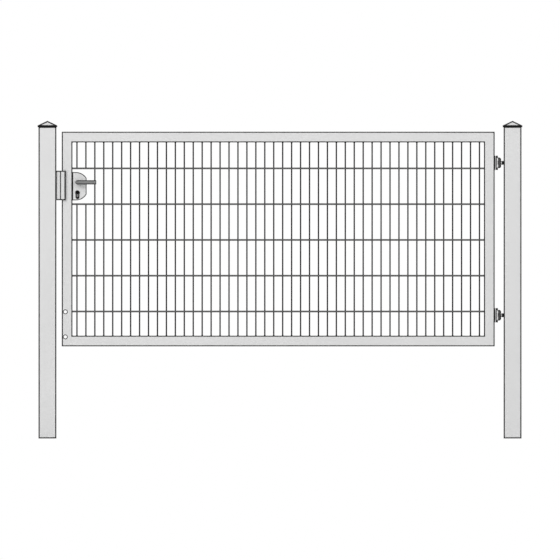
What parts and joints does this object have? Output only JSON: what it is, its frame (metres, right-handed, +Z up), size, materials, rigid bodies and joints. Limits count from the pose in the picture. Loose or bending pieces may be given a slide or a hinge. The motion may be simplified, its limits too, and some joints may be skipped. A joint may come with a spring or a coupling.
{
  "type": "tubular frame gate",
  "caption": "Single-leaf swing gate: rectangular tube frame with a double-wire mat, two capped square posts, fork hinges, lever lock with key cylinder, and a keeper.",
  "frame": {"origin": "centre of the hinge post's foot face", "axes": "+X from the latch post towards the hinge post, +Y to the side the leaf opens to, +Z up along the posts"},
  "size_m": [2.71, 0.156, 1.776],
  "materials": {
    "post_coat": "satin light grey coat on galvanised steel tube",
    "frame_coat": "satin light grey coat on galvanised steel tube",
    "case_coat": "satin light grey coat on steel sheet",
    "cap": "satin light grey coat on a pressed cap, dark at the skirt",
    "mat_wire": "matt black coat on welded wire, greyer on the front and back of the level wires",
    "rubber": "matt black rubber",
    "zinc": "zinc-plated steel",
    "cylinder": "dark nickel",
    "black_parts": "black oxide finish",
    "black_plastic": "matt black plastic",
    "lever": "satin mid-grey coat on aluminium",
    "hinge_plate": "galvanised steel plate",
    "hinge_fork": "black coat on castings, bright at the fork's boss and the eye bolt's neck"
  },
  "bodies": {
    "posts": {"latch_post": "post_coat", "hinge_post": "post_coat", "latch_post_cap": "cap", "hinge_post_cap": "cap", "keeper_channel": "frame_coat", "keeper_stop": "frame_coat", "keeper_buffer": "rubber", "upper_hinge_eye_bolt": "hinge_fork", "upper_hinge_nuts": "black_parts", "lower_hinge_eye_bolt": "hinge_fork", "lower_hinge_nuts": "black_parts"},
    "leaf": {"top_rail": "frame_coat", "bottom_rail": "frame_coat", "latch_stile": "frame_coat", "hinge_stile": "frame_coat", "mat_front": "mat_wire", "mat_back_wires": "mat_wire", "lock_case": "case_coat", "lock_faceplate": "zinc", "spring_latch": "zinc", "dead_bolt": "zinc", "key_cylinder": "cylinder", "cylinder_plugs": "black_parts", "front_escutcheon": "black_plastic", "rear_escutcheon": "black_plastic", "upper_hinge_plate": "hinge_plate", "upper_hinge_fork": "hinge_fork", "upper_hinge_pin": "zinc", "lower_hinge_plate": "hinge_plate", "lower_hinge_fork": "hinge_fork", "lower_hinge_pin": "zinc"},
    "handle": {"front_lever": "lever", "rear_lever": "lever", "lever_spindle": "zinc"}
  },
  "joints": [
    {"name": "leaf_swing", "type": "hinge", "parent": "posts", "child": "leaf", "pos_m": [-0.075, 0, 1.115], "axis": [0, 0, -1], "range_deg": [0, 90]},
    {"name": "handle_turn", "type": "hinge", "parent": "leaf", "child": "handle", "pos_m": [-2.432, 0, 1.432], "axis": [0, 1, 0], "range_deg": [0, 40], "stiffness_Nm_per_rad": 2, "springref_deg": -20.05}
  ]
}
